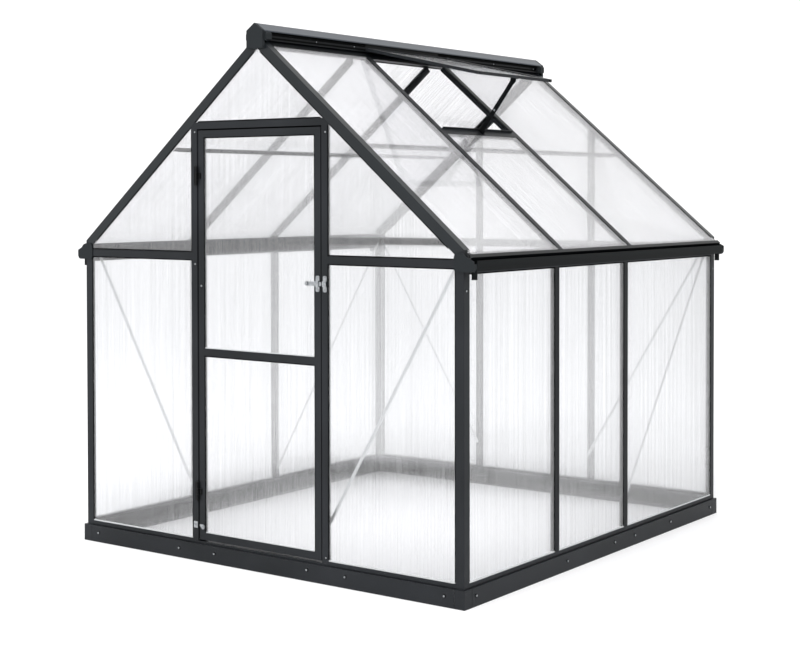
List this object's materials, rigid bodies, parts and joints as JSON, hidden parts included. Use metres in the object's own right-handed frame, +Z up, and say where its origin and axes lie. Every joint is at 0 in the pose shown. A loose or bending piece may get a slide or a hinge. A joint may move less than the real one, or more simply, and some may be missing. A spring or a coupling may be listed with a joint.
{
  "type": "greenhouse",
  "caption": "Walk-in greenhouse with anthracite aluminium frame, clear twin-wall sheets, hinged door with barrel bolt, propped roof vent, gutters and base frame.",
  "frame": {"origin": "middle of the footprint on the ground, under the base frame", "axes": "+X to the right seen from the door, +Y from the door gable to the rear gable, +Z up"},
  "size_m": [1.92, 1.858, 1.9811],
  "materials": {
    "anthracite_aluminium": "satin powder coat",
    "anthracite_cover": "satin powder coat",
    "black_moulding": "matt",
    "twin_wall_sheet": "clear twin-wall sheet",
    "bare_aluminium": "mill",
    "zinc_plated_steel": "zinc plated",
    "black_steel": "satin"
  },
  "bodies": {
    "frame": {"base_rails": "anthracite_aluminium", "base_corners": "anthracite_aluminium", "corner_posts": "anthracite_aluminium", "front_sills": "anthracite_aluminium", "rear_sill": "anthracite_aluminium", "side_sills": "anthracite_aluminium", "door_threshold": "anthracite_aluminium", "door_posts": "anthracite_aluminium", "door_header": "anthracite_aluminium", "front_eave_rails": "anthracite_aluminium", "rear_eave_rails": "anthracite_aluminium", "rear_mullions": "anthracite_aluminium", "side_mullions": "anthracite_aluminium", "eave_beams": "anthracite_aluminium", "gutter_left": "black_moulding", "gutter_right": "black_moulding", "eave_joints": "black_moulding", "rafters": "anthracite_aluminium", "ridge_beam": "anthracite_aluminium", "ridge_cover": "anthracite_cover", "ridge_end_caps": "black_moulding", "roof_bars": "anthracite_aluminium", "roof_sills": "anthracite_cover", "roof_purlins": "anthracite_aluminium", "side_sheets": "twin_wall_sheet", "front_sheets": "twin_wall_sheet", "rear_sheets": "twin_wall_sheet", "roof_sheets": "twin_wall_sheet", "vent_crossbar": "anthracite_aluminium", "vent_frame": "anthracite_aluminium", "vent_sheet": "twin_wall_sheet", "vent_cleats": "black_moulding", "vent_stay": "black_moulding", "braces_gables": "bare_aluminium", "braces_side": "bare_aluminium", "hinges_post": "black_steel", "latch_keeper": "zinc_plated_steel", "catch_plate": "zinc_plated_steel"},
    "door": {"door_stiles": "anthracite_aluminium", "door_rails": "anthracite_aluminium", "door_panes": "twin_wall_sheet", "hinges_door": "black_steel", "latch_strap": "zinc_plated_steel", "catch_lug": "zinc_plated_steel"},
    "bolt": {"latch_bolt": "zinc_plated_steel"}
  },
  "joints": [
    {"name": "door_hinge", "type": "hinge", "parent": "frame", "child": "door", "pos_m": [-0.301, -0.9205, 0.85], "axis": [0, 0, -1], "range_deg": [0, 110]},
    {"name": "bolt_slide", "type": "slide", "parent": "door", "child": "bolt", "axis": [1, 0, 0], "range_m": [0, 0.028]}
  ]
}
